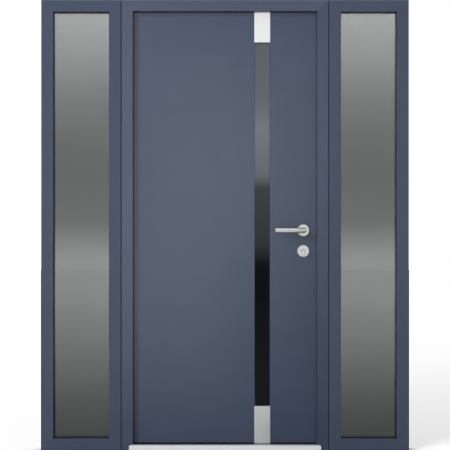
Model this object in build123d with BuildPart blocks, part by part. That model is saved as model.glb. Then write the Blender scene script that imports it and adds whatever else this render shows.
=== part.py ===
"""Entrance door with a fixed glazed sidelight on each side.

Millimetres, +Z up, outside towards -Y. The origin is on the floor, at the middle of the threshold's
underside and of the frame's depth.
"""

import os

from build123d import *

os.makedirs("parts", exist_ok=True)

# Frame and overall sizes
frame_height = 2032.0
frame_depth = 90.0
door_frame_width = 932.0
door_face = 51.0
sidelight_width = 359.0
sidelight_face = 54.0
coupling_width = 3.0
coupling_setback = 3.0
lip_thickness = 17.0
edge_radius = 1.5
foot_height = 7.0
bar_wall = 3.0
rebate_wall = 5.0
web_setback = 19.0

# Threshold: its metal base and nose, and the insert that the leaf closes over
threshold_height = 22.0
threshold_base = 4.0
nose_height = 28.0
nose_projection = 20.0
nose_overlap = 16.0
nose_radius = 5.0
insert_wall = 3.0
insert_web = 45.0
tread_groove_width = 2.5
tread_groove_depth = 1.0
tread_groove_pitch = 7.0
tread_groove_count = 3

# Door leaf and the gaps round it
leaf_overlap = 13.0
leaf_gap = 5.5
leaf_floor_gap = 10.0
running_gap = 5.0
lock_edge_bevel = 3.5
skin = 1.5
outer_fold = 28.0
inner_fold = 26.0

# Seals
seal_stand = 3.0
seal_show = 1.0
seal_width = 14.0
bottom_seal_width = 10.0
bottom_seal_setback = 4.0

# Glass strip in the leaf, with a metal plate above and below it
strip_lock_distance = 259.5
strip_width = 69.0
strip_bottom_distance = 167.0
strip_top_distance = 152.5
strip_margin = 15.0
plate_width = 72.0
plate_thickness = 2.0
plate_gap = 2.0
plate_top_gap = 5.0
plate_edge = 0.5

# Sealed glass units and how they are held
pane = 6.0
pane_gap = 16.0
spacer_width = 8.0
spacer_setback = 1.0
glass_cover = 13.0
glass_edge_gap = 5.0
strip_edge_gap = 3.0
outer_gasket = 4.0
inner_gasket = 3.0
strip_gasket = 2.5
gasket_show = 1.0
gasket_inset = 1.0
bead_chamfer_depth = 8.0
bead_chamfer_width = 4.0
bead_end_gap = 0.3

# Lever handle
lever_backset = 74.0
lever_z = 993.0
lever_radius = 11.0
lever_reach = 129.5
lever_stand = 52.0
lever_tip_edge = 2.0
lever_foot_gap = 1.0
rose_radius = 27.5
rose_thickness = 8.0
rose_edge = 1.5
neck_fit = 0.3
spindle_side = 8.0
spindle_fit = 0.1
spindle_depth = 30.0
spindle_hole_radius = 9.0

# Lock
lock_spacing = 92.0
rosette_drop = 2.0
plug_radius = 8.5
plug_face_radius = 6.5
plug_seam = 0.5
cylinder_width = 10.0
cylinder_height = 33.0
cylinder_stand = 1.5
cylinder_fit = 0.8
keyway_width = 9.5
keyway_height = 2.6
keyway_depth = 14.0
faceplate_width = 20.0
faceplate_thickness = 3.0
faceplate_margin = 110.0
bolt_width = 12.0
bolt_height = 34.0
bolt_depth = 18.0
bolt_fit = 0.25
bolt_drop = 70.0
bolt_spread = 640.0
strike_margin = 22.0
strike_thickness = 2.0
strike_pocket = 16.0

# Barrel hinges on the room side
hinge_inset = 220.0
hinge_length = 100.0
knuckle_radius = 10.0
knuckle_length = 38.0
knuckle_stand = 11.0
knuckle_gap = 0.5
hinge_pin_radius = 5.0
hinge_pin_fit = 0.05
hinge_plate = 3.0
hinge_plate_width = 36.0
hinge_root_width = 18.0
hinge_plate_margin = 4.0
pin_cap = 4.0

# Holes for the frame screws in the outer stiles
screw_hole_radius = 4.0
screw_end_distance = 200.0
screw_inner_spacing = 560.0

# Places worked out from the sizes above
front = -frame_depth / 2
back = frame_depth / 2
lip_back = front + lip_thickness
door_half = door_frame_width / 2
opening_half = door_half - door_face
opening_top = frame_height - door_face
leaf_half = opening_half + leaf_overlap
rebate_half = leaf_half + leaf_gap
door_step = leaf_overlap + leaf_gap
leaf_front = lip_back + seal_stand + running_gap + plate_thickness
leaf_back = back
leaf_top = opening_top + leaf_overlap
leaf_bottom = threshold_height + leaf_floor_gap
leaf_thickness = leaf_back - leaf_front
strip_x = leaf_half - strip_lock_distance
strip_bottom = leaf_bottom + strip_bottom_distance
strip_top = leaf_top - strip_top_distance
glass_step = glass_cover + glass_edge_gap
unit_depth = 2 * pane + pane_gap
hinge_x = -(leaf_half + leaf_gap / 2)
hinge_y = back + knuckle_stand
lever_x = leaf_half - lever_backset
plug_z = lever_z - lock_spacing


def upright(y):
    """A sketching plane that faces the outside, at depth y, with its own axes along X and Z."""
    return Plane.XZ.offset(-y)


def chambers(face, step):
    """The hollows of a frame bar: a large one that runs out into the lip, and a narrow one on the room side."""
    body = face - step - rebate_wall
    web = back - web_setback
    with BuildSketch() as hollows:
        with BuildLine():
            Polyline(
                (bar_wall, front + bar_wall),
                (face - bar_wall, front + bar_wall),
                (face - bar_wall, lip_back - bar_wall),
                (body, lip_back - bar_wall),
                (body, web),
                (bar_wall, web),
                close=True,
            )
        make_face()
        with Locations((bar_wall, web + bar_wall)):
            Rectangle(body - bar_wall, web_setback - 2 * bar_wall, align=(Align.MIN, Align.MIN))
    return hollows.sketch


def rebated_bar(plane, length, face, step, mitre_start=True, mitre_end=True, hollow=True):
    """A frame bar: a wide lip outside, a narrower body behind it, mitred where it meets the next bar."""
    with BuildPart() as bar:
        with BuildSketch(plane) as section:
            with BuildLine():
                Polyline(
                    (0, front),
                    (face, front),
                    (face, lip_back),
                    (face - step, lip_back),
                    (face - step, back),
                    (0, back),
                    close=True,
                )
            make_face()
            fillet(section.vertices().group_by(Axis.Y)[0], edge_radius)
            if hollow:
                add(chambers(face, step), mode=Mode.SUBTRACT)
        extrude(amount=length)
        if mitre_start:
            split(bisect_by=Plane(plane.origin, z_dir=plane.z_dir - plane.x_dir))
        if mitre_end:
            far_end = plane.origin + plane.z_dir * length
            split(bisect_by=Plane(far_end, z_dir=-(plane.z_dir + plane.x_dir)))
    return bar.part


def left_plane(x, z):
    """Section plane of an upright bar whose outer edge is on the left, drawn from the bottom up."""
    return Plane((x, 0, z), x_dir=(1, 0, 0), z_dir=(0, 0, 1))


def right_plane(x, z):
    """Section plane of an upright bar whose outer edge is on the right, drawn from the top down."""
    return Plane((x, 0, z), x_dir=(-1, 0, 0), z_dir=(0, 0, -1))


def top_plane(x):
    """Section plane of a bar along the frame's top, drawn from left to right."""
    return Plane((x, 0, frame_height), x_dir=(0, 0, -1), z_dir=(1, 0, 0))


def bottom_plane(x):
    """Section plane of a bar along the floor, drawn from right to left."""
    return Plane((x, 0, 0), x_dir=(0, 0, 1), z_dir=(-1, 0, 0))


def ring(y, depth, centre, size, width):
    """A rectangular ring from depth y inwards, such as a gasket or a spacer."""
    with BuildPart() as band:
        with BuildSketch(upright(y)):
            with Locations(centre):
                Rectangle(size[0], size[1])
                Rectangle(size[0] - 2 * width, size[1] - 2 * width, mode=Mode.SUBTRACT)
        extrude(amount=-depth)
    return band.part


def glass_unit(y, centre, size):
    """Two panes, one behind the other, with room for the spacer between them."""
    with BuildPart() as panes:
        for pane_y in (y, y + pane + pane_gap):
            with BuildSketch(upright(pane_y)):
                with Locations(centre):
                    Rectangle(size[0], size[1])
            extrude(amount=-pane)
    return panes.part


def beads(y, centre, opening, width):
    """Four glazing beads round an opening, flush with the room side and bevelled towards the glass."""
    x, z = centre
    out_x = opening[0] / 2 + width
    out_z = opening[1] / 2 + width
    side_half = out_z
    end_half = opening[0] / 2 - bead_end_gap
    sides = (
        (Plane((x - out_x, 0, z), x_dir=(1, 0, 0), z_dir=(0, 0, 1)), side_half),
        (Plane((x + out_x, 0, z), x_dir=(-1, 0, 0), z_dir=(0, 0, -1)), side_half),
        (Plane((x, 0, z + out_z), x_dir=(0, 0, -1), z_dir=(1, 0, 0)), end_half),
        (Plane((x, 0, z - out_z), x_dir=(0, 0, 1), z_dir=(-1, 0, 0)), end_half),
    )
    with BuildPart() as strips:
        for plane, half_length in sides:
            with BuildSketch(plane):
                with BuildLine():
                    Polyline(
                        (0, y),
                        (width, y),
                        (width, back - bead_chamfer_depth),
                        (width - bead_chamfer_width, back),
                        (0, back),
                        close=True,
                    )
                make_face()
            extrude(amount=half_length, both=True)
    return strips.part


# Sidelights: a mitred frame, a sealed glass unit between gaskets, and beads on the room side
sidelight_left = {"left": -door_half - coupling_width - sidelight_width, "right": door_half + coupling_width}
glass_front = lip_back + outer_gasket
glass_back = glass_front + unit_depth
bead_front = glass_back + inner_gasket
sight_size = (sidelight_width - 2 * sidelight_face, frame_height - 2 * sidelight_face)
unit_size = (sight_size[0] + 2 * glass_cover, sight_size[1] + 2 * glass_cover)
gasket_size = (unit_size[0] - 2 * gasket_inset, unit_size[1] - 2 * gasket_inset)
gasket_width = glass_cover - gasket_inset + gasket_show
spacer_size = (unit_size[0] - 2 * spacer_setback, unit_size[1] - 2 * spacer_setback)
screw_rows = (frame_height / 2 - screw_end_distance, screw_inner_spacing / 2)

sidelight_middles = {side: (x + sidelight_width / 2, frame_height / 2) for side, x in sidelight_left.items()}

for side, left_edge in sidelight_left.items():
    right_edge = left_edge + sidelight_width
    middle = sidelight_middles[side]
    wall_edge = left_edge if side == "left" else right_edge

    left_stile = rebated_bar(left_plane(left_edge, 0), frame_height, sidelight_face, glass_step)
    right_stile = rebated_bar(right_plane(right_edge, frame_height), frame_height, sidelight_face, glass_step)

    with BuildPart() as outer_stile:
        add(left_stile if side == "left" else right_stile)
        with BuildSketch(Plane.YZ.offset(wall_edge)):
            with Locations([(0, frame_height / 2 + sign * row) for row in screw_rows for sign in (-1, 1)]):
                Circle(screw_hole_radius)
        extrude(amount=sidelight_face, both=True, mode=Mode.SUBTRACT)
    outer_stile.part.label = f"{side}_outer_stile"
    export_step(outer_stile.part, f"parts/{side}_outer_stile.step")

    with BuildPart() as inner_stile:
        add(right_stile if side == "left" else left_stile)
    inner_stile.part.label = f"{side}_inner_stile"
    export_step(inner_stile.part, f"parts/{side}_inner_stile.step")

    with BuildPart() as light_head:
        add(rebated_bar(top_plane(left_edge), sidelight_width, sidelight_face, glass_step))
    light_head.part.label = f"{side}_head"
    export_step(light_head.part, f"parts/{side}_head.step")

    with BuildPart() as light_sill:
        add(rebated_bar(bottom_plane(right_edge), sidelight_width, sidelight_face, glass_step))
    light_sill.part.label = f"{side}_sill"
    export_step(light_sill.part, f"parts/{side}_sill.step")

    with BuildPart() as light_glass:
        add(glass_unit(glass_front, middle, unit_size))
    light_glass.part.label = f"{side}_glass"
    export_step(light_glass.part, f"parts/{side}_glass.step")

    with BuildPart() as light_beads:
        add(beads(bead_front, middle, sight_size, glass_step))
    light_beads.part.label = f"{side}_beads"
    export_step(light_beads.part, f"parts/{side}_beads.step")

with BuildPart() as sidelight_spacers:
    for middle in sidelight_middles.values():
        add(ring(glass_front + pane, pane_gap, middle, spacer_size, spacer_width))
sidelight_spacers.part.label = "sidelight_spacers"
export_step(sidelight_spacers.part, "parts/sidelight_spacers.step")

with BuildPart() as sidelight_gaskets:
    for middle in sidelight_middles.values():
        add(ring(lip_back, outer_gasket, middle, gasket_size, gasket_width))
        add(ring(glass_back, inner_gasket, middle, gasket_size, gasket_width))
sidelight_gaskets.part.label = "sidelight_gaskets"
export_step(sidelight_gaskets.part, "parts/sidelight_gaskets.step")

# Black strips that close the joints between the sidelights and the door frame
with BuildPart() as coupling_strips:
    with BuildSketch():
        with Locations(*[(sign * (door_half + coupling_width / 2), 0) for sign in (-1, 1)]):
            Rectangle(coupling_width, frame_depth - 2 * coupling_setback)
    extrude(amount=frame_height)
coupling_strips.part.label = "coupling_strips"
export_step(coupling_strips.part, "parts/coupling_strips.step")

# Door frame: two jambs on low feet and a head, mitred at the top corners
jamb_length = frame_height - foot_height

with BuildPart() as hinge_jamb:
    add(rebated_bar(left_plane(-door_half, foot_height), jamb_length, door_face, door_step, mitre_start=False))
hinge_jamb.part.label = "hinge_jamb"
export_step(hinge_jamb.part, "parts/hinge_jamb.step")

with BuildPart() as frame_head:
    add(rebated_bar(top_plane(-door_half), door_frame_width, door_face, door_step))
frame_head.part.label = "frame_head"
export_step(frame_head.part, "parts/frame_head.step")

with BuildPart() as jamb_feet:
    for plane in (left_plane(-door_half, 0), right_plane(door_half, foot_height)):
        add(rebated_bar(plane, foot_height, door_face, door_step, False, False, hollow=False))
jamb_feet.part.label = "jamb_feet"
export_step(jamb_feet.part, "parts/jamb_feet.step")

# Lock edge of the leaf: a plane on the bevelled edge, its own x along the height and its normal outwards
edge_direction = Vector(lock_edge_bevel, leaf_thickness, 0).normalized()
edge_centre = Vector(leaf_half - lock_edge_bevel / 2, (leaf_front + leaf_back) / 2, plug_z)
lock_edge = Plane(edge_centre, x_dir=(0, 0, 1), z_dir=edge_direction.cross(Vector(0, 0, 1)))
bolt_heights = (lever_z, plug_z - bolt_drop, plug_z - bolt_spread, plug_z + bolt_spread)
faceplate_bottom = leaf_bottom + faceplate_margin
faceplate_top = leaf_top - faceplate_margin
strike_y = (leaf_front + leaf_back) / 2
strike_height = bolt_height + 2 * strike_margin

with BuildPart() as lock_jamb:
    add(rebated_bar(right_plane(door_half, frame_height), jamb_length, door_face, door_step, mitre_end=False))
    with BuildSketch(Plane.YZ.offset(rebate_half)):
        with Locations(*[(strike_y, height) for height in bolt_heights]):
            Rectangle(faceplate_width, strike_height)
    extrude(amount=strike_thickness, mode=Mode.SUBTRACT)
    with BuildSketch(Plane.YZ.offset(rebate_half)):
        with Locations(*[(strike_y, height) for height in bolt_heights]):
            Rectangle(bolt_width, bolt_height)
    extrude(amount=strike_pocket, mode=Mode.SUBTRACT)
lock_jamb.part.label = "lock_jamb"
export_step(lock_jamb.part, "parts/lock_jamb.step")

with BuildPart() as strike_plates:
    with BuildSketch(Plane.YZ.offset(rebate_half)):
        with Locations(*[(strike_y, height) for height in bolt_heights]):
            Rectangle(faceplate_width, strike_height)
            Rectangle(bolt_width, bolt_height, mode=Mode.SUBTRACT)
    extrude(amount=strike_thickness)
strike_plates.part.label = "strike_plates"
export_step(strike_plates.part, "parts/strike_plates.step")

# Threshold: an aluminium base with a nose in front of the jambs, and a black plastic insert behind the nose
nose_front = front - nose_projection
nose_half = opening_half + nose_overlap
insert_height = threshold_height - threshold_base
chamber_height = insert_height - 2 * insert_wall
web_y = front + insert_web
chamber_ends = ((front + insert_wall, web_y), (web_y + insert_wall, back - insert_wall))
first_groove = back - tread_groove_count * tread_groove_pitch
groove_places = [(first_groove + i * tread_groove_pitch, threshold_height) for i in range(tread_groove_count)]

with BuildSketch() as doorway_plan:
    with BuildLine():
        Polyline(
            (0, nose_front),
            (nose_half, nose_front),
            (opening_half, front),
            (opening_half, lip_back),
            (rebate_half, lip_back),
            (rebate_half, back),
            (0, back),
        )
        mirror(about=Plane.YZ)
    make_face()

with BuildPart() as threshold:
    with BuildSketch(Plane.YZ.offset(-rebate_half)) as base_section:
        with BuildLine():
            Polyline(
                (nose_front, 0),
                (nose_front, nose_height),
                (front, nose_height),
                (front, threshold_base),
                (back, threshold_base),
                (back, 0),
                close=True,
            )
        make_face()
        fillet(base_section.vertices().group_by(Axis.Y)[-1].sort_by(Axis.X)[0], nose_radius)
    extrude(amount=2 * rebate_half)
    with BuildSketch():
        add(doorway_plan.sketch)
    extrude(amount=nose_height, mode=Mode.INTERSECT)
threshold.part.label = "threshold"
export_step(threshold.part, "parts/threshold.step")

with BuildPart() as threshold_insert:
    with BuildSketch(Plane.YZ.offset(-rebate_half)):
        with Locations(((front + back) / 2, threshold_base + insert_height / 2)):
            Rectangle(frame_depth, insert_height)
        for near, far in chamber_ends:
            with Locations(((near + far) / 2, threshold_base + insert_height / 2)):
                Rectangle(far - near, chamber_height, mode=Mode.SUBTRACT)
        with Locations(*groove_places):
            Rectangle(tread_groove_width, 2 * tread_groove_depth, mode=Mode.SUBTRACT)
    extrude(amount=2 * rebate_half)
    with BuildSketch():
        add(doorway_plan.sketch)
    extrude(amount=threshold_height, mode=Mode.INTERSECT)
threshold_insert.part.label = "threshold_insert"
export_step(threshold_insert.part, "parts/threshold_insert.step")

# Weather seal: a black strip on the back of the frame's lips, down both jambs and across the head
with BuildPart() as frame_seal:
    with BuildSketch(upright(lip_back)):
        with BuildLine():
            seal_inner = opening_half - seal_show
            seal_outer = seal_inner + seal_width
            seal_top = opening_top - seal_show
            Polyline(
                (0, seal_top),
                (seal_inner, seal_top),
                (seal_inner, threshold_height),
                (seal_outer, threshold_height),
                (seal_outer, seal_top + seal_width),
                (0, seal_top + seal_width),
            )
            mirror(about=Plane.YZ)
        make_face()
    extrude(amount=-seal_stand)
frame_seal.part.label = "frame_seal"
export_step(frame_seal.part, "parts/frame_seal.step")

# Door leaf: two folded skins round a core, with a band of the core showing between their folds
strip_middle = (strip_x, (strip_bottom + strip_top) / 2)
strip_size = (strip_width, strip_top - strip_bottom)
pocket_size = (strip_size[0] + 2 * strip_margin, strip_size[1] + 2 * strip_margin)
bevel_run = lock_edge_bevel / leaf_thickness


def leaf_plan(inset):
    """The leaf seen from above, drawn inset from its outer faces: the lock edge is bevelled."""
    near = leaf_front + inset
    far = leaf_back - inset
    lock_side = leaf_half - inset
    with BuildSketch() as plan:
        with BuildLine():
            Polyline(
                (-leaf_half + inset, near),
                (lock_side - bevel_run * (leaf_back - near), near),
                (lock_side - bevel_run * (leaf_back - far), far),
                (-leaf_half + inset, far),
                close=True,
            )
        make_face()
    return plan.sketch


def leaf_block(inset):
    """The whole leaf as a block, inset all round."""
    with BuildPart() as block:
        with BuildSketch(Plane.XY.offset(leaf_bottom + inset)):
            add(leaf_plan(inset))
        extrude(amount=leaf_top - leaf_bottom - 2 * inset)
    return block.part


def cylinder_outline(fit):
    """The lock cylinder's section: a round plug housing with a narrow tail below it."""
    tail_radius = cylinder_width / 2 + fit
    tail_z = plug_z + plug_radius - cylinder_height + cylinder_width / 2
    with BuildSketch() as outline:
        with Locations((lever_x, plug_z)):
            Circle(plug_radius + fit)
        with Locations((lever_x, tail_z)):
            Circle(tail_radius)
        with Locations((lever_x, (plug_z + tail_z) / 2)):
            Rectangle(2 * tail_radius, plug_z - tail_z)
    return outline.sketch


def furniture_holes():
    """The holes through the leaf for the lever's spindle and for the lock cylinder."""
    with BuildSketch() as holes:
        with Locations((lever_x, lever_z)):
            Circle(spindle_hole_radius)
        add(cylinder_outline(cylinder_fit))
    return holes.sketch


def faceplate_sketch():
    """The lock faceplate's outline on the leaf's lock edge."""
    with BuildSketch() as outline:
        with Locations(((faceplate_bottom + faceplate_top) / 2 - plug_z, 0)):
            Rectangle(faceplate_top - faceplate_bottom, faceplate_width)
    return outline.sketch


def bolt_sketch(fit):
    """The bolts' outlines on the leaf's lock edge, drawn smaller by the fit all round."""
    with BuildSketch() as outline:
        with Locations(*[(height - plug_z, 0) for height in bolt_heights]):
            Rectangle(bolt_height - 2 * fit, bolt_width - 2 * fit)
    return outline.sketch


with BuildPart() as leaf_outer_skin:
    add(leaf_block(0))
    add(leaf_block(skin), mode=Mode.SUBTRACT)
    split(bisect_by=Plane((0, leaf_front + outer_fold, 0), z_dir=(0, -1, 0)))
    with BuildSketch(upright(leaf_front)):
        with Locations(strip_middle):
            Rectangle(*strip_size)
        add(furniture_holes())
    extrude(amount=-2 * skin, mode=Mode.SUBTRACT)
    with BuildSketch(lock_edge):
        add(faceplate_sketch())
    extrude(amount=-faceplate_thickness, mode=Mode.SUBTRACT)
leaf_outer_skin.part.label = "leaf_outer_skin"
export_step(leaf_outer_skin.part, "parts/leaf_outer_skin.step")

with BuildPart() as leaf_inner_skin:
    add(leaf_block(0))
    add(leaf_block(skin), mode=Mode.SUBTRACT)
    split(bisect_by=Plane((0, leaf_back - inner_fold, 0), z_dir=(0, 1, 0)))
    with BuildSketch(upright(leaf_back)):
        with Locations(strip_middle):
            Rectangle(*pocket_size)
        add(furniture_holes())
    extrude(amount=2 * skin, mode=Mode.SUBTRACT)
    with BuildSketch(lock_edge):
        add(faceplate_sketch())
    extrude(amount=-faceplate_thickness, mode=Mode.SUBTRACT)
leaf_inner_skin.part.label = "leaf_inner_skin"
export_step(leaf_inner_skin.part, "parts/leaf_inner_skin.step")

with BuildPart() as leaf_core:
    add(leaf_block(skin))
    with BuildSketch(upright(leaf_back)):
        with Locations(strip_middle):
            Rectangle(*pocket_size)
        add(furniture_holes())
    extrude(amount=leaf_thickness, mode=Mode.SUBTRACT)
    with BuildSketch(lock_edge):
        add(faceplate_sketch())
    extrude(amount=-faceplate_thickness, mode=Mode.SUBTRACT)
    with BuildSketch(lock_edge):
        add(bolt_sketch(0))
    extrude(amount=-bolt_depth, mode=Mode.SUBTRACT)
leaf_core.part.label = "leaf_core"
export_step(leaf_core.part, "parts/leaf_core.step")

with BuildPart() as bottom_seal:
    seal_length = 2 * leaf_half - 2 * lock_edge_bevel
    with BuildSketch(Plane.XY.offset(threshold_height + running_gap)):
        with Locations((-lock_edge_bevel, leaf_front + bottom_seal_setback + bottom_seal_width / 2)):
            Rectangle(seal_length - 2 * running_gap, bottom_seal_width)
    extrude(amount=leaf_floor_gap - running_gap)
bottom_seal.part.label = "bottom_seal"
export_step(bottom_seal.part, "parts/bottom_seal.step")

# Glass strip: a narrow sealed unit behind the outer skin, held by beads from the room side
strip_glass_front = leaf_front + skin + strip_gasket
strip_unit_size = (pocket_size[0] - 2 * strip_edge_gap, pocket_size[1] - 2 * strip_edge_gap)
strip_gasket_size = (strip_unit_size[0] - 2 * gasket_inset, strip_unit_size[1] - 2 * gasket_inset)
strip_gasket_width = (strip_gasket_size[0] - strip_width) / 2 + gasket_show
strip_spacer_size = (strip_unit_size[0] - 2 * spacer_setback, strip_unit_size[1] - 2 * spacer_setback)

with BuildPart() as strip_glass:
    add(glass_unit(strip_glass_front, strip_middle, strip_unit_size))
strip_glass.part.label = "strip_glass"
export_step(strip_glass.part, "parts/strip_glass.step")

with BuildPart() as strip_spacer:
    add(ring(strip_glass_front + pane, pane_gap, strip_middle, strip_spacer_size, spacer_width))
strip_spacer.part.label = "strip_spacer"
export_step(strip_spacer.part, "parts/strip_spacer.step")

with BuildPart() as strip_seal:
    add(ring(leaf_front + skin, strip_gasket, strip_middle, strip_gasket_size, strip_gasket_width))
strip_seal.part.label = "strip_seal"
export_step(strip_seal.part, "parts/strip_seal.step")

with BuildPart() as strip_beads:
    add(beads(strip_glass_front + unit_depth, strip_middle, strip_size, strip_margin))
strip_beads.part.label = "strip_beads"
export_step(strip_beads.part, "parts/strip_beads.step")

# Metal plates in line with the glass strip: up behind the head's lip, and down over the bottom seal
for label, low, high in (
    ("top_plate", strip_top + plate_gap, leaf_top - plate_top_gap),
    ("bottom_plate", threshold_height + running_gap, strip_bottom - plate_gap),
):
    with BuildPart() as end_plate:
        with BuildSketch(upright(leaf_front)):
            with Locations((strip_x, (low + high) / 2)):
                Rectangle(plate_width, high - low)
        extrude(amount=plate_thickness)
        chamfer(end_plate.faces().sort_by(Axis.Y)[0].edges(), plate_edge)
    end_plate.part.label = label
    export_step(end_plate.part, f"parts/{label}.step")

# Roses and rosettes: round covers on both faces of the leaf
with BuildPart() as lever_roses:
    for face_y, outwards in ((leaf_front, 1), (leaf_back, -1)):
        with BuildSketch(upright(face_y)):
            with Locations((lever_x, lever_z)):
                Circle(rose_radius)
                Circle(lever_radius + neck_fit, mode=Mode.SUBTRACT)
        extrude(amount=outwards * rose_thickness)
    rims = lever_roses.edges().filter_by(GeomType.CIRCLE).group_by(SortBy.RADIUS)[-1].sort_by(Axis.Y)
    chamfer([rims[0], rims[-1]], rose_edge)
lever_roses.part.label = "lever_roses"
export_step(lever_roses.part, "parts/lever_roses.step")

with BuildPart() as cylinder_rosettes:
    for face_y, outwards in ((leaf_front, 1), (leaf_back, -1)):
        with BuildSketch(upright(face_y)):
            with Locations((lever_x, plug_z - rosette_drop)):
                Circle(rose_radius)
            add(cylinder_outline(cylinder_fit), mode=Mode.SUBTRACT)
        extrude(amount=outwards * rose_thickness)
    rims = cylinder_rosettes.edges().filter_by(GeomType.CIRCLE).group_by(SortBy.RADIUS)[-1].sort_by(Axis.Y)
    chamfer([rims[0], rims[-1]], rose_edge)
cylinder_rosettes.part.label = "cylinder_rosettes"
export_step(cylinder_rosettes.part, "parts/cylinder_rosettes.step")

# Lock: the key cylinder through the leaf, and the faceplate with its bolts in the lock edge
cylinder_reach = rose_thickness + cylinder_stand

with BuildPart() as lock_cylinder:
    with BuildSketch(upright(leaf_back + cylinder_reach)):
        add(cylinder_outline(0))
    extrude(amount=leaf_thickness + 2 * cylinder_reach)
    for face_y, inwards in ((leaf_front - cylinder_reach, -1), (leaf_back + cylinder_reach, 1)):
        with BuildSketch(upright(face_y)):
            with Locations((lever_x, plug_z)):
                Circle(plug_face_radius)
                Circle(plug_face_radius - plug_seam, mode=Mode.SUBTRACT)
        extrude(amount=inwards * plug_seam, mode=Mode.SUBTRACT)
        with BuildSketch(upright(face_y)):
            with Locations((lever_x, plug_z)):
                Rectangle(keyway_width, keyway_height)
        extrude(amount=inwards * keyway_depth, mode=Mode.SUBTRACT)
lock_cylinder.part.label = "lock_cylinder"
export_step(lock_cylinder.part, "parts/lock_cylinder.step")

with BuildPart() as lock_faceplate:
    with BuildSketch(lock_edge):
        add(faceplate_sketch())
        add(bolt_sketch(0), mode=Mode.SUBTRACT)
    extrude(amount=-faceplate_thickness)
lock_faceplate.part.label = "lock_faceplate"
export_step(lock_faceplate.part, "parts/lock_faceplate.step")

with BuildPart() as lock_bolts:
    with BuildSketch(lock_edge):
        add(bolt_sketch(bolt_fit))
    extrude(amount=-bolt_depth)
lock_bolts.part.label = "lock_bolts"
export_step(lock_bolts.part, "parts/lock_bolts.step")

# Lever handles: a round bar bent square, one on each face, on one square spindle
for label, face_y, outwards in (("outer_lever", leaf_front, -1), ("inner_lever", leaf_back, 1)):
    foot_y = face_y + outwards * lever_foot_gap
    grip_y = face_y + outwards * lever_stand
    neck_plane = Plane((lever_x, foot_y, lever_z), x_dir=(1, 0, 0), z_dir=(0, outwards, 0))
    with BuildPart() as lever:
        with BuildLine():
            Polyline(
                (lever_x, foot_y, lever_z),
                (lever_x, grip_y, lever_z),
                (lever_x - lever_reach, grip_y, lever_z),
            )
        with BuildSketch(neck_plane):
            Circle(lever_radius)
        sweep(transition=Transition.RIGHT)
        chamfer(lever.faces().sort_by(Axis.X)[0].edges(), lever_tip_edge)
        with BuildSketch(neck_plane):
            Rectangle(spindle_side + 2 * spindle_fit, spindle_side + 2 * spindle_fit)
        extrude(amount=spindle_depth, mode=Mode.SUBTRACT)
    lever.part.label = label
    export_step(lever.part, f"parts/{label}.step")

with BuildPart() as spindle:
    spindle_end = lever_foot_gap + spindle_depth
    with BuildSketch(upright(leaf_back + spindle_end)):
        with Locations((lever_x, lever_z)):
            Rectangle(spindle_side, spindle_side)
    extrude(amount=leaf_thickness + 2 * spindle_end)
spindle.part.label = "spindle"
export_step(spindle.part, "parts/spindle.step")

# Hinges: each has a frame half with two knuckles, a leaf half with one between them, and a pin
first_hinge = leaf_bottom + hinge_inset
last_hinge = leaf_top - hinge_inset
hinge_heights = (first_hinge, (first_hinge + last_hinge) / 2, last_hinge)
frame_plate_width = door_half - rebate_half - hinge_plate_margin

with BuildPart() as hinge_frame_halves:
    for height in hinge_heights:
        with BuildSketch(Plane.XY.offset(height - hinge_length / 2)):
            with Locations((hinge_x, hinge_y)):
                Circle(knuckle_radius)
            with Locations((-rebate_half - frame_plate_width / 2, back + hinge_plate / 2)):
                Rectangle(frame_plate_width, hinge_plate)
        extrude(amount=hinge_length)
        with BuildSketch(Plane.XY.offset(height - knuckle_length / 2 - knuckle_gap)):
            with Locations((hinge_x, hinge_y)):
                Circle(knuckle_radius + knuckle_gap)
        extrude(amount=knuckle_length + 2 * knuckle_gap, mode=Mode.SUBTRACT)
        with BuildSketch(Plane.XY.offset(height - hinge_length / 2)):
            with Locations((hinge_x, hinge_y)):
                Circle(hinge_pin_radius + hinge_pin_fit)
        extrude(amount=hinge_length, mode=Mode.SUBTRACT)
hinge_frame_halves.part.label = "hinge_frame_halves"
export_step(hinge_frame_halves.part, "parts/hinge_frame_halves.step")

with BuildPart() as hinge_leaf_halves:
    for height in hinge_heights:
        with BuildSketch(Plane.XY.offset(height - hinge_length / 2)):
            with Locations((-leaf_half + hinge_plate_width / 2, back + hinge_plate / 2)):
                Rectangle(hinge_plate_width, hinge_plate)
        extrude(amount=hinge_length)
        with BuildSketch(Plane.XY.offset(height - hinge_length / 2)):
            with Locations((hinge_x, hinge_y)):
                Circle(knuckle_radius + knuckle_gap)
        extrude(amount=hinge_length, mode=Mode.SUBTRACT)
        with BuildSketch(Plane.XY.offset(height - knuckle_length / 2)):
            with Locations((hinge_x, hinge_y)):
                Circle(knuckle_radius)
            with Locations((-leaf_half + hinge_root_width / 2, back + hinge_plate / 2)):
                Rectangle(hinge_root_width, hinge_plate)
        extrude(amount=knuckle_length)
        with BuildSketch(Plane.XY.offset(height - hinge_length / 2)):
            with Locations((hinge_x, hinge_y)):
                Circle(hinge_pin_radius + hinge_pin_fit)
        extrude(amount=hinge_length, mode=Mode.SUBTRACT)
hinge_leaf_halves.part.label = "hinge_leaf_halves"
export_step(hinge_leaf_halves.part, "parts/hinge_leaf_halves.step")

with BuildPart() as hinge_pins:
    for height in hinge_heights:
        with BuildSketch(Plane.XY.offset(height - hinge_length / 2)):
            with Locations((hinge_x, hinge_y)):
                Circle(hinge_pin_radius)
        extrude(amount=hinge_length)
        for cap_z in (height + hinge_length / 2, height - hinge_length / 2 - pin_cap):
            with BuildSketch(Plane.XY.offset(cap_z)):
                with Locations((hinge_x, hinge_y)):
                    Circle(knuckle_radius)
            extrude(amount=pin_cap)
hinge_pins.part.label = "hinge_pins"
export_step(hinge_pins.part, "parts/hinge_pins.step")
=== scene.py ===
"""Looks of an entrance door with a fixed glazed sidelight on each side, seen square on from outside."""

import math

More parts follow.
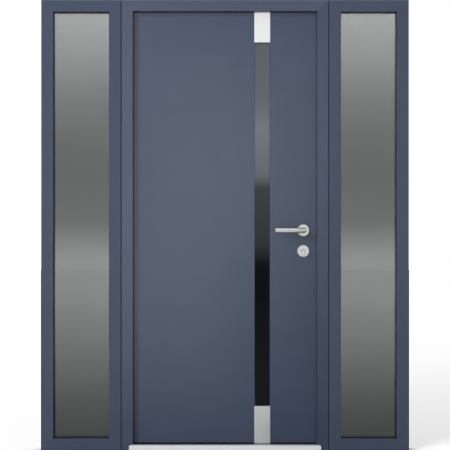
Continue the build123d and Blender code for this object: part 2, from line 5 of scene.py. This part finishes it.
import bmesh
import bpy
from mathutils import Matrix, Vector


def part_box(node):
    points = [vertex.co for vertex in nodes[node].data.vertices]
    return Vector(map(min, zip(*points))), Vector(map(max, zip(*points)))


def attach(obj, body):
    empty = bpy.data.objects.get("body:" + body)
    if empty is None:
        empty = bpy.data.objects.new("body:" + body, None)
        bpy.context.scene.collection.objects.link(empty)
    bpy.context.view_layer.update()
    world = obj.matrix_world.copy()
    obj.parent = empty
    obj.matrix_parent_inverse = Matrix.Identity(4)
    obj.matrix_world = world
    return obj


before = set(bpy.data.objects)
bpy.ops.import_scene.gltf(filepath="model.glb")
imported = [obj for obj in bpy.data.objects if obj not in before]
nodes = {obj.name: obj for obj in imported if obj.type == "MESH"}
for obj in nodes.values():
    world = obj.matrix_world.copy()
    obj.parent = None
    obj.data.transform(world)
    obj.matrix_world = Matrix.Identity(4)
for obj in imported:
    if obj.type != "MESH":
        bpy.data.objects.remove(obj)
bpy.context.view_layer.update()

# Sidelight frames: hollow aluminium profiles, mitred and crimped at the corners, powder coated slate grey.
# The coat has a fine orange peel and a slight mottle. Glazing beads in the same coat clip in from the room.


def new_surface(name):
    """A material with its tree, its shader and the coordinates of the piece itself, in metres."""
    material = bpy.data.materials.new(name)
    material.use_nodes = True
    tree = material.node_tree
    place = tree.nodes.new("ShaderNodeTexCoord")
    return material, tree, tree.nodes["Principled BSDF"], place.outputs["Object"]


def grain(tree, place, scale, stretch=(1, 1, 1), detail=2.0):
    """Noise over the piece, at so many cells to the metre, drawn out along axes where stretch is small."""
    mapping = tree.nodes.new("ShaderNodeMapping")
    mapping.inputs["Scale"].default_value = stretch
    noise = tree.nodes.new("ShaderNodeTexNoise")
    noise.inputs["Scale"].default_value = scale
    noise.inputs["Detail"].default_value = detail
    tree.links.new(place, mapping.inputs["Vector"])
    tree.links.new(mapping.outputs["Vector"], noise.inputs["Vector"])
    return noise.outputs["Fac"]


def tint(tree, fac, dark, light, low=0.35, high=0.65):
    """Two close colours shared out by a pattern."""
    ramp = tree.nodes.new("ShaderNodeValToRGB")
    ramp.color_ramp.elements[0].position = low
    ramp.color_ramp.elements[0].color = (*dark, 1)
    ramp.color_ramp.elements[1].position = high
    ramp.color_ramp.elements[1].color = (*light, 1)
    tree.links.new(fac, ramp.inputs["Fac"])
    return ramp.outputs["Color"]


def spread(tree, fac, low, high):
    """A pattern turned into a range of values, such as roughness."""
    scale = tree.nodes.new("ShaderNodeMapRange")
    scale.inputs["From Min"].default_value = 0.3
    scale.inputs["From Max"].default_value = 0.7
    scale.inputs["To Min"].default_value = low
    scale.inputs["To Max"].default_value = high
    tree.links.new(fac, scale.inputs["Value"])
    return scale.outputs["Result"]


def relief(tree, fac, height, strength=1.0):
    """A pattern turned into fine bumps, so many metres high."""
    bump = tree.nodes.new("ShaderNodeBump")
    bump.inputs["Distance"].default_value = height
    bump.inputs["Strength"].default_value = strength
    tree.links.new(fac, bump.inputs["Height"])
    return bump.outputs["Normal"]


def powder_coat(name, dark, light, shine, rough):
    """Satin powder coat in a pair of close tones."""
    material, tree, shader, place = new_surface(name)
    mottle = grain(tree, place, 9, detail=4)
    tree.links.new(tint(tree, mottle, dark, light), shader.inputs["Base Color"])
    patches = grain(tree, place, 60)
    tree.links.new(spread(tree, patches, 0.97 * rough, 1.03 * rough), shader.inputs["Roughness"])
    tree.links.new(relief(tree, grain(tree, place, 700), 0.000015), shader.inputs["Normal"])
    shader.inputs["Specular IOR Level"].default_value = shine
    return material


def soften(piece, width):
    """Rounds a piece's sharp edges, as coating, rolling or polishing does."""
    weld = piece.modifiers.new("weld", "WELD")
    weld.merge_threshold = 0.000005
    edge = piece.modifiers.new("edge", "BEVEL")
    edge.width = width
    edge.segments = 2
    edge.limit_method = "ANGLE"
    edge.angle_limit = math.radians(40)
    edge.harden_normals = True


def finish(material, *names):
    """Gives CAD pieces their material."""
    for name in names:
        nodes[name].data.materials.clear()
        nodes[name].data.materials.append(material)


sidelight_coat = powder_coat("sidelight_coat", (0.053, 0.071, 0.118), (0.057, 0.076, 0.126), 0.3, 0.45)
for side in ("left", "right"):
    for bar in ("outer_stile", "inner_stile", "head", "sill", "beads"):
        finish(sidelight_coat, f"{side}_{bar}")

# Seals and gaskets: black extruded rubber, pressed into the frame's grooves and against the glass.
# The coupling strips between the door frame and the sidelights are of the same rubber.
rubber, tree, shader, place = new_surface("rubber")
tree.links.new(tint(tree, grain(tree, place, 30), (0.008, 0.009, 0.011), (0.014, 0.015, 0.018)),
               shader.inputs["Base Color"])
tree.links.new(spread(tree, grain(tree, place, 220), 0.6, 0.8), shader.inputs["Roughness"])
tree.links.new(relief(tree, grain(tree, place, 900), 0.00005), shader.inputs["Normal"])
shader.inputs["Specular IOR Level"].default_value = 0.2
finish(rubber, "coupling_strips", "frame_seal", "sidelight_gaskets", "strip_seal", "bottom_seal")

# Sidelight glass: sealed units of two panes, a clear one outside and a grey tinted one inside.
# Toughening leaves a slight roller wave in the panes.
glass, tree, shader, place = new_surface("sidelight_glass")
depth = tree.nodes.new("ShaderNodeSeparateXYZ")
tree.links.new(place, depth.inputs["Vector"])
between_panes = -0.010
behind = tree.nodes.new("ShaderNodeMapRange")
behind.inputs["From Min"].default_value = between_panes - 0.001
behind.inputs["From Max"].default_value = between_panes + 0.001
tree.links.new(depth.outputs["Y"], behind.inputs["Value"])
tree.links.new(tint(tree, behind.outputs["Result"], (0.90, 0.92, 0.91), (0.03, 0.031, 0.031), 0.45, 0.55),
               shader.inputs["Base Color"])
tree.links.new(relief(tree, grain(tree, place, 3.0, (1, 1, 2.2), 0), 0.0004, 0.3), shader.inputs["Normal"])
shader.inputs["Transmission Weight"].default_value = 1.0
shader.inputs["Roughness"].default_value = 0.0
shader.inputs["IOR"].default_value = 1.6
finish(glass, "left_glass", "right_glass")

# Spacers: black plastic bars bonded between the panes, a little in from the glass edge. They hold the
# drying agent, and their fine grain is all that shows from the side.
spacer, tree, shader, place = new_surface("spacer")
tree.links.new(tint(tree, grain(tree, place, 40), (0.022, 0.022, 0.024), (0.034, 0.034, 0.036)),
               shader.inputs["Base Color"])
tree.links.new(spread(tree, grain(tree, place, 300), 0.45, 0.6), shader.inputs["Roughness"])
finish(spacer, "sidelight_spacers", "strip_spacer")

# Threshold: an extruded aluminium base with a rounded nose, anodised silver and screwed down to the floor.
# Fine die lines run along its length.
anodised, tree, shader, place = new_surface("anodised")
lines = grain(tree, place, 900, (0.004, 1, 1))
tree.links.new(tint(tree, lines, (0.90, 0.92, 0.95), (0.94, 0.955, 0.98)), shader.inputs["Base Color"])
tree.links.new(spread(tree, lines, 0.40, 0.52), shader.inputs["Roughness"])
tree.links.new(relief(tree, lines, 0.00002), shader.inputs["Normal"])
shader.inputs["Metallic"].default_value = 0.2
finish(anodised, "threshold")
soften(nodes["threshold"], 0.0006)

# Threshold insert: extruded black plastic with ribs, set behind the nose to keep the cold out of the room.
# Raised cross-head screws go down through it and the base into the floor, under the shut leaf.
insert, tree, shader, place = new_surface("black_plastic")
lines = grain(tree, place, 700, (0.004, 1, 1))
tree.links.new(tint(tree, lines, (0.010, 0.010, 0.011), (0.016, 0.016, 0.017)), shader.inputs["Base Color"])
tree.links.new(spread(tree, lines, 0.55, 0.7), shader.inputs["Roughness"])
tree.links.new(relief(tree, lines, 0.00003), shader.inputs["Normal"])
shader.inputs["Specular IOR Level"].default_value = 0.2
finish(insert, "threshold_insert")

steel, tree, shader, place = new_surface("screw_steel")
turned = grain(tree, place, 1400, detail=3)
tree.links.new(tint(tree, turned, (0.44, 0.44, 0.43), (0.56, 0.56, 0.55)), shader.inputs["Base Color"])
tree.links.new(spread(tree, turned, 0.28, 0.44), shader.inputs["Roughness"])
shader.inputs["Metallic"].default_value = 1.0


def cross_recess(reach):
    """Outline of a driver's cross, as 24 points round the middle of a screw head."""
    arm = 0.32 * reach
    corners = [(reach, -arm), (reach, arm), (arm, arm)]
    points = []
    for turn in range(4):
        angle = turn * math.pi / 2
        for x, y in corners:
            across = x * math.cos(angle) - y * math.sin(angle)
            along = x * math.sin(angle) + y * math.cos(angle)
            points.append((across, along))
    return [point for corner, after in zip(points, points[1:] + points[:1])
            for point in (corner, ((corner[0] + after[0]) / 2, (corner[1] + after[1]) / 2))]


def hexagon_recess(reach):
    """Outline of a hexagon socket, as 24 points round the middle of a screw head."""
    corners = [(reach * math.cos(i * math.pi / 3), reach * math.sin(i * math.pi / 3)) for i in range(6)]
    return [(a[0] + (b[0] - a[0]) * step / 4, a[1] + (b[1] - a[1]) * step / 4)
            for a, b in zip(corners, corners[1:] + corners[:1]) for step in range(4)]


def screw_heads(name, radius, recess, places, facing, body):
    """Screw heads in one piece, each a low dome with its driver's recess, on a face that looks this way."""
    head = bmesh.new()
    rise = 0.26 * radius
    dome = ((1.0, -0.15), (1.0, 0.3), (0.93, 0.65), (0.78, 0.95))
    turn = Vector((0, 0, 1)).rotation_difference(Vector(facing))
    outline = recess(0.5 * radius)
    first = math.atan2(outline[0][1], outline[0][0])
    step = math.radians(360 / 24)
    for number, place in enumerate(places):
        spin = Matrix.Rotation(0.7 * number, 3, "Z")
        rings = [[(share * radius * math.cos(first + step * i), share * radius * math.sin(first + step * i),
                   height * rise) for i in range(24)] for share, height in dome]
        rings.append([(x, y, rise) for x, y in outline])
        rings.append([(0.8 * x, 0.8 * y, 0.15 * rise) for x, y in outline])
        rows = []
        for ring in rings:
            row = []
            for corner in ring:
                point = spin @ Vector(corner)
                point.rotate(turn)
                row.append(head.verts.new(point + Vector(place)))
            rows.append(row)
        for low, high in zip(rows, rows[1:]):
            for i in range(24):
                j = (i + 1) % 24
                head.faces.new((low[i], low[j], high[j], high[i]))
        head.faces.new(list(reversed(rows[0])))
        head.faces.new(rows[-1])
    mesh = bpy.data.meshes.new(name)
    head.to_mesh(mesh)
    head.free()
    mesh.polygons.foreach_set("use_smooth", [True] * len(mesh.polygons))
    mesh.set_sharp_from_angle(angle=math.radians(35))
    mesh.materials.append(steel)
    piece = bpy.data.objects.new(name, mesh)
    bpy.context.scene.collection.objects.link(piece)
    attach(piece, body)


threshold_screw_radius = 0.005
threshold_screw_y = 0.014
threshold_screw_places = (-0.36, -0.12, 0.12, 0.36)
insert_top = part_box("threshold_insert")[1][2]
screw_heads("threshold_screws", threshold_screw_radius, cross_recess,
            [(x, threshold_screw_y, insert_top) for x in threshold_screw_places], (0, 0, 1), "frame")

# Door frame and leaf: hollow jambs and head round two folded steel skins, which are glued to an insulating
# core. They are coated together, a touch shinier than the sidelights.
door_coat = powder_coat("door_coat", (0.044, 0.065, 0.116), (0.048, 0.070, 0.124), 0.5, 0.29)
finish(door_coat, "hinge_jamb", "lock_jamb", "frame_head", "jamb_feet")
finish(door_coat, "leaf_outer_skin", "leaf_inner_skin", "strip_beads")

# Leaf core: dark rigid foam between the skins, with an open, slightly crumbly surface where it is cut.
# A band of it shows between the skins' folds on the leaf's edges.
core, tree, shader, place = new_surface("core")
tree.links.new(tint(tree, grain(tree, place, 120), (0.018, 0.019, 0.021), (0.03, 0.031, 0.034)),
               shader.inputs["Base Color"])
tree.links.new(relief(tree, grain(tree, place, 500), 0.0002), shader.inputs["Normal"])
shader.inputs["Roughness"].default_value = 0.8
finish(core, "leaf_core")

# Glass strip: a narrow sealed unit of nearly black glass behind the outer skin, held from the room side.
# Its outer face has a faintly blue coating and the same roller wave as the sidelights.
dark_glass, tree, shader, place = new_surface("strip_glass")
tree.links.new(tint(tree, grain(tree, place, 3), (0.0035, 0.0036, 0.004), (0.0045, 0.0046, 0.005)),
               shader.inputs["Base Color"])
tree.links.new(relief(tree, grain(tree, place, 3.0, (1, 1, 2.2), 0), 0.0004, 0.3), shader.inputs["Normal"])
shader.inputs["Roughness"].default_value = 0.02
shader.inputs["IOR"].default_value = 1.5
shader.inputs["Specular Tint"].default_value = (0.80, 0.93, 1.0, 1)
finish(dark_glass, "strip_glass")

# Plates above and below the strip: stainless sheet with bevelled edges, glued to the outer skin.
# The brushed grain runs along their length.
brushed, tree, shader, place = new_surface("brushed_plate")
lines = grain(tree, place, 1500, (1, 1, 0.006), 3)
tree.links.new(tint(tree, lines, (0.63, 0.63, 0.63), (0.71, 0.71, 0.71)), shader.inputs["Base Color"])
tree.links.new(spread(tree, lines, 0.30, 0.44), shader.inputs["Roughness"])
tree.links.new(relief(tree, lines, 0.00003), shader.inputs["Normal"])
shader.inputs["Metallic"].default_value = 1.0
finish(brushed, "top_plate", "bottom_plate")

# Lever set: round stainless bar, mitre welded and ground, on turned roses. The satin grain runs along the
# grips. A grub screw under each neck holds the lever to its square spindle.
satin, tree, shader, place = new_surface("satin_stainless")
lines = grain(tree, place, 1800, (0.05, 1, 1), 2)
tree.links.new(tint(tree, lines, (0.43, 0.43, 0.425), (0.49, 0.49, 0.485)), shader.inputs["Base Color"])
tree.links.new(spread(tree, lines, 0.30, 0.42), shader.inputs["Roughness"])
tree.links.new(relief(tree, lines, 0.00002), shader.inputs["Normal"])
shader.inputs["Metallic"].default_value = 1.0
finish(satin, "outer_lever", "inner_lever", "lever_roses", "cylinder_rosettes")
for name in ("outer_lever", "inner_lever", "lever_roses", "cylinder_rosettes"):
    soften(nodes[name], 0.0005)

grub_screw_radius = 0.0026
rose_low, rose_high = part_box("lever_roses")
for name, rose_y, outwards in (("outer_lever", rose_low[1], -1), ("inner_lever", rose_high[1], 1)):
    lever_low, lever_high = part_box(name)
    thickness = lever_high[2] - lever_low[2]
    grip_back = lever_low[1] + thickness if outwards < 0 else lever_high[1] - thickness
    neck = (lever_high[0] - thickness / 2, (rose_y + grip_back) / 2, lever_low[2])
    screw_heads(f"{name}_grub_screw", grub_screw_radius, hexagon_recess, [neck], (0, 0, -1), "lever")

# Lock: a nickel plated key cylinder, and zinc plated bolts drawn back flush in a long stainless faceplate.
# The faceplate and the strike plates across from it are held by cross-head screws.
plated, tree, shader, place = new_surface("plated_lock")
tree.links.new(tint(tree, grain(tree, place, 150), (0.44, 0.43, 0.41), (0.52, 0.51, 0.485)),
               shader.inputs["Base Color"])
tree.links.new(spread(tree, grain(tree, place, 600), 0.28, 0.42), shader.inputs["Roughness"])
shader.inputs["Metallic"].default_value = 1.0
finish(plated, "lock_bolts", "spindle")
finish(satin, "lock_faceplate", "strike_plates")

key_metal, tree, shader, place = new_surface("key_cylinder")
face_metal = tint(tree, grain(tree, place, 150), (0.44, 0.43, 0.41), (0.52, 0.51, 0.485))
# Painted shade: more than a millimetre in from the cylinder's end faces, the keyway is coloured near black to
# stand for the shade inside it.
keyway_painted_shade = tint(tree, grain(tree, place, 300), (0.02, 0.018, 0.014), (0.05, 0.045, 0.036))
painted_shade_depth = 0.001
cylinder_low, cylinder_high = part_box("lock_cylinder")
depth = tree.nodes.new("ShaderNodeSeparateXYZ")
tree.links.new(place, depth.inputs["Vector"])
from_middle = tree.nodes.new("ShaderNodeMath")
from_middle.operation = "COMPARE"
from_middle.inputs[1].default_value = (cylinder_low[1] + cylinder_high[1]) / 2
from_middle.inputs[2].default_value = (cylinder_high[1] - cylinder_low[1]) / 2 - painted_shade_depth
tree.links.new(depth.outputs["Y"], from_middle.inputs[0])
blend = tree.nodes.new("ShaderNodeMixRGB")
tree.links.new(from_middle.outputs["Value"], blend.inputs["Fac"])
tree.links.new(face_metal, blend.inputs["Color1"])
tree.links.new(keyway_painted_shade, blend.inputs["Color2"])
tree.links.new(blend.outputs["Color"], shader.inputs["Base Color"])
tree.links.new(spread(tree, grain(tree, place, 600), 0.24, 0.38), shader.inputs["Roughness"])
shader.inputs["Metallic"].default_value = 1.0
finish(key_metal, "lock_cylinder")

bolt_offsets = (-0.64, -0.07, 0.092, 0.64)
strike_screw_radius = 0.0038
strike_screw_reach = 0.028
strike_low, strike_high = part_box("strike_plates")
strike_y = (strike_low[1] + strike_high[1]) / 2
plug_z = (strike_low[2] + strike_high[2]) / 2
strike_heights = [plug_z + offset + end for offset in bolt_offsets
                  for end in (-strike_screw_reach, strike_screw_reach)]
screw_heads("strike_screws", strike_screw_radius, cross_recess,
            [(strike_low[0], strike_y, height) for height in strike_heights], (-1, 0, 0), "frame")

faceplate_screw_radius = 0.0034
faceplate_screw_reach = 0.027
faceplate_end = 0.012
leaf_thickness = 0.063
leaf_edge_slant = 0.0035
face_low, face_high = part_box("lock_faceplate")
slant = Vector((leaf_thickness, -leaf_edge_slant, 0)).normalized()
face_x = face_high[0] + slant.y * (face_high[1] - face_low[1]) / 2
face_heights = [plug_z + offset + faceplate_screw_reach for offset in bolt_offsets]
face_heights = [face_low[2] + faceplate_end, *face_heights, face_high[2] - faceplate_end]
screw_heads("faceplate_screws", faceplate_screw_radius, cross_recess,
            [(face_x, strike_y, height) for height in face_heights], slant, "leaf")

# Hinges: steel barrel hinges in the door's coat, with turned stainless pins. Three raised screws hold each
# half, set out of line so that they share the load over the profile.
finish(door_coat, "hinge_leaf_halves", "hinge_frame_halves")
finish(satin, "hinge_pins")
for name in ("hinge_leaf_halves", "hinge_frame_halves", "hinge_pins"):
    soften(nodes[name], 0.0005)

hinge_screw_radius = 0.0042
hinge_screw_inset = 0.010
hinge_screw_stagger = 0.004
hinge_screw_spread = 0.036
hinge_plate = 0.003
pin_half = 0.054
pin_low, pin_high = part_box("hinge_pins")
hinge_heights = (pin_low[2] + pin_half, (pin_low[2] + pin_high[2]) / 2, pin_high[2] - pin_half)
leaf_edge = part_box("hinge_leaf_halves")[1][0]
frame_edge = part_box("hinge_frame_halves")[0][0]
plate_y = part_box("hinge_leaf_halves")[0][1] + hinge_plate
for name, edge, inwards, body in (("leaf_hinge_screws", leaf_edge, -1, "leaf"),
                                  ("frame_hinge_screws", frame_edge, 1, "frame")):
    outer_x = edge + inwards * hinge_screw_inset
    middle_x = outer_x + inwards * hinge_screw_stagger
    places = []
    for height in hinge_heights:
        places.append((outer_x, plate_y, height - hinge_screw_spread))
        places.append((middle_x, plate_y, height))
        places.append((outer_x, plate_y, height + hinge_screw_spread))
    screw_heads(name, hinge_screw_radius, cross_recess, places, (0, 1, 0), body)

# Studio: a pale floor that only takes the shadow, a white surround, a broad lamp from the upper left and one
# behind, reflector cards that only the shiny surfaces see, and two small lamps for the round levers.
scene = bpy.context.scene
scene.view_settings.view_transform = "Standard"

bpy.ops.mesh.primitive_plane_add(size=40, location=(0, 0, -0.0005))
floor = bpy.context.object
floor.name = "studio_floor"
floor_paint, tree, shader, place = new_surface("studio_floor")
tree.links.new(tint(tree, grain(tree, place, 2), (0.80, 0.80, 0.80), (0.83, 0.83, 0.83)),
               shader.inputs["Base Color"])
shader.inputs["Roughness"].default_value = 0.9
floor.data.materials.append(floor_paint)
floor.is_shadow_catcher = True

world = bpy.data.worlds.new("studio")
scene.world = world
world.use_nodes = True
tree = world.node_tree
surround = tree.nodes["Background"]
surround.inputs["Color"].default_value = (0.96, 0.98, 1.0, 1)
surround.inputs["Strength"].default_value = 0.18
white = tree.nodes.new("ShaderNodeBackground")
white.inputs["Color"].default_value = (1, 1, 1, 1)
white.inputs["Strength"].default_value = 1.0
path = tree.nodes.new("ShaderNodeLightPath")
seen = tree.nodes.new("ShaderNodeMath")
seen.operation = "ADD"
tree.links.new(path.outputs["Is Camera Ray"], seen.inputs[0])
tree.links.new(path.outputs["Is Glossy Ray"], seen.inputs[1])
shown = tree.nodes.new("ShaderNodeMath")
shown.operation = "ADD"
shown.use_clamp = True
tree.links.new(seen.outputs["Value"], shown.inputs[0])
tree.links.new(path.outputs["Is Transmission Ray"], shown.inputs[1])
mix = tree.nodes.new("ShaderNodeMixShader")
tree.links.new(shown.outputs["Value"], mix.inputs["Fac"])
tree.links.new(surround.outputs["Background"], mix.inputs[1])
tree.links.new(white.outputs["Background"], mix.inputs[2])
tree.links.new(mix.outputs["Shader"], tree.nodes["World Output"].inputs["Surface"])


def reflector(name, corners, axis, start, end, levels):
    """A card that only reflections see. Its light changes along an axis, from start to end, by the levels."""
    mesh = bpy.data.meshes.new(name)
    mesh.from_pydata(corners, [], [(0, 1, 2, 3)])
    card = bpy.data.objects.new(name, mesh)
    scene.collection.objects.link(card)
    material = bpy.data.materials.new(name)
    material.use_nodes = True
    tree = material.node_tree
    tree.nodes.remove(tree.nodes["Principled BSDF"])
    place = tree.nodes.new("ShaderNodeTexCoord")
    split = tree.nodes.new("ShaderNodeSeparateXYZ")
    tree.links.new(place.outputs["Object"], split.inputs["Vector"])
    along = tree.nodes.new("ShaderNodeMapRange")
    along.inputs["From Min"].default_value = start
    along.inputs["From Max"].default_value = end
    tree.links.new(split.outputs[axis], along.inputs["Value"])
    ramp = tree.nodes.new("ShaderNodeValToRGB")
    stops = ramp.color_ramp.elements
    top = max(level for _, level in levels)
    for _ in levels[2:]:
        stops.new(0.5)
    for stop, (where, level) in zip(stops, levels):
        stop.position = where
        stop.color = (level / top, level / top, level / top, 1)
    tree.links.new(along.outputs["Result"], ramp.inputs["Fac"])
    light = tree.nodes.new("ShaderNodeEmission")
    light.inputs["Strength"].default_value = top
    tree.links.new(ramp.outputs["Color"], light.inputs["Color"])
    tree.links.new(light.outputs["Emission"], tree.nodes["Material Output"].inputs["Surface"])
    mesh.materials.append(material)
    card.visible_camera = False
    card.visible_diffuse = False
    card.visible_shadow = False
    return card


card_y = -9.7
card_top = 9.0
levels_top = 5.0
card_lift = 0.004


def wall_card(name, start, end, levels):
    """A reflector that stands across from the door, between two places along X."""
    corners = [(start, card_y, 0), (end, card_y, 0), (end, card_y, card_top), (start, card_y, card_top)]
    return reflector(name, corners, "Z", 0, levels_top, levels)


def ground_card(name, near_y, near, far, levels):
    """A reflector that lies on the floor, out to the wall cards. Near and far are its two ends along X."""
    corners = [(near[0], near_y, card_lift), (near[1], near_y, card_lift),
               (far[1], card_y, card_lift), (far[0], card_y, card_lift)]
    return reflector(name, corners, "Y", near_y, card_y, levels)


left_start, leaf_end, strip_end, right_start, near_end = -0.92, 0.28, 0.7, 1.38, 2.4
side_reach = 6.0
doorway = 0.49
strip_near, foot_near = 0.16, 1.1
side_near_y, strip_near_y, leaf_near_y = -0.14, -0.16, -0.6
wall_card("leaf_card", left_start, leaf_end,
          [(0.0, 3.1), (0.15, 3.6), (0.3, 4.1), (0.46, 3.8), (0.56, 2.7), (0.68, 1.6), (0.76, 0.2)])
wall_card("strip_card", leaf_end, strip_end,
          [(0.0, 0.06), (0.10, 0.1), (0.155, 0.9), (0.30, 1.35), (0.335, 3.8), (0.46, 5.0), (0.53, 3.7),
           (0.68, 3.2), (0.76, 0.3)])
wall_card("lock_side_card", strip_end, right_start,
          [(0.0, 0.05), (0.12, 0.1), (0.24, 1.2), (0.4, 1.6), (0.6, 1.4), (0.72, 0.3)])
side_levels = [(0.0, 1.7), (0.11, 1.95), (0.21, 1.0), (0.33, 0.85), (0.43, 0.95), (0.54, 1.3), (0.64, 1.95),
               (0.78, 2.85), (0.86, 2.85), (0.94, 0.3)]
wall_card("left_card", -side_reach, left_start, side_levels)
near_card = wall_card("right_near_card", right_start, near_end, side_levels)
wall_card("right_card", near_end, side_reach, side_levels)
side_ground_levels = [(0.0, 0.3), (0.1, 0.44), (0.25, 0.75), (0.5, 1.15), (1.0, 1.7)]
ground_card("left_ground_card", side_near_y, (-side_reach, -doorway), (-side_reach, left_start),
            side_ground_levels)
ground_card("leaf_ground_card", leaf_near_y, (-0.5, 0.0), (left_start, leaf_end),
            [(0.0, 0.3), (0.3, 1.35), (1.0, 3.1)])
ground_card("strip_ground_card", strip_near_y, (strip_near, doorway), (leaf_end, right_start),
            [(0.0, 0.1), (0.12, 0.2), (1.0, 0.1)])
foot_card = ground_card("right_foot_card", side_near_y, (doorway, foot_near), (right_start, near_end),
                        side_ground_levels)
ground_card("right_ground_card", side_near_y, (foot_near, side_reach), (near_end, side_reach),
            side_ground_levels)

# The leaf and the lock jamb take no light from the two near cards on the right, so that their foot is dark.
lock_side = bpy.data.collections.new("lock_side")
for name in ("leaf_outer_skin", "lock_jamb"):
    lock_side.objects.link(nodes[name])
for member in lock_side.collection_objects:
    member.light_linking.link_state = "EXCLUDE"
for card in (near_card, foot_card):
    card.light_linking.receiver_collection = lock_side

key = bpy.data.lights.new("key_lamp", "AREA")
key.shape = "RECTANGLE"
key.size = 4.0
key.size_y = 3.4
key.energy = 530
key_lamp = bpy.data.objects.new("key_lamp", key)
key_lamp.location = (-5.6, -6.2, 5.2)
key_lamp.rotation_euler = (Vector((0, 0, 1.0)) - key_lamp.location).to_track_quat("-Z", "Y").to_euler()
scene.collection.objects.link(key_lamp)
back = bpy.data.lights.new("back_lamp", "AREA")
back.shape = "RECTANGLE"
back.size = 6.0
back.size_y = 4.0
back.energy = 420
back_lamp = bpy.data.objects.new("back_lamp", back)
back_lamp.location = (0, 3.4, 5.5)
scene.collection.objects.link(back_lamp)
for lamp in (key_lamp, back_lamp):
    lamp.visible_camera = False
    lamp.visible_glossy = False
    lamp.visible_transmission = False

# Two small lamps, below and above, light the levers alone.
lever_only = bpy.data.collections.new("lever_only")
for name in ("outer_lever", "inner_lever"):
    lever_only.objects.link(nodes[name])
lever_low, lever_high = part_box("outer_lever")
grip = Vector(((lever_low[0] + lever_high[0]) / 2, lever_low[1], (lever_low[2] + lever_high[2]) / 2))
glow_front = -0.22
glow_rise = 0.545
for name, rise in (("lever_low_lamp", -glow_rise), ("lever_high_lamp", glow_rise)):
    glow = bpy.data.lights.new(name, "AREA")
    glow.size = 0.4
    glow.energy = 0.8
    glow_lamp = bpy.data.objects.new(name, glow)
    glow_lamp.location = grip + Vector((0, glow_front, rise))
    glow_lamp.rotation_euler = (grip - glow_lamp.location).to_track_quat("-Z", "Y").to_euler()
    glow_lamp.visible_camera = False
    glow_lamp.visible_transmission = False
    glow_lamp.light_linking.receiver_collection = lever_only
    scene.collection.objects.link(glow_lamp)

# Camera: square on and level with the middle of the unit, which fills the picture's height.
distance = 5.0
shown_height = 2.027
eye_height = 1.0171
frame_face = -0.045
camera = bpy.data.cameras.new("camera")
camera.type = "PERSP"
camera.sensor_width = 36
camera.lens = camera.sensor_width * distance / shown_height
eye = bpy.data.objects.new("camera", camera)
eye.location = (0, frame_face - distance, eye_height)
eye.rotation_euler = (math.radians(90), 0, 0)
scene.collection.objects.link(eye)
scene.camera = eye
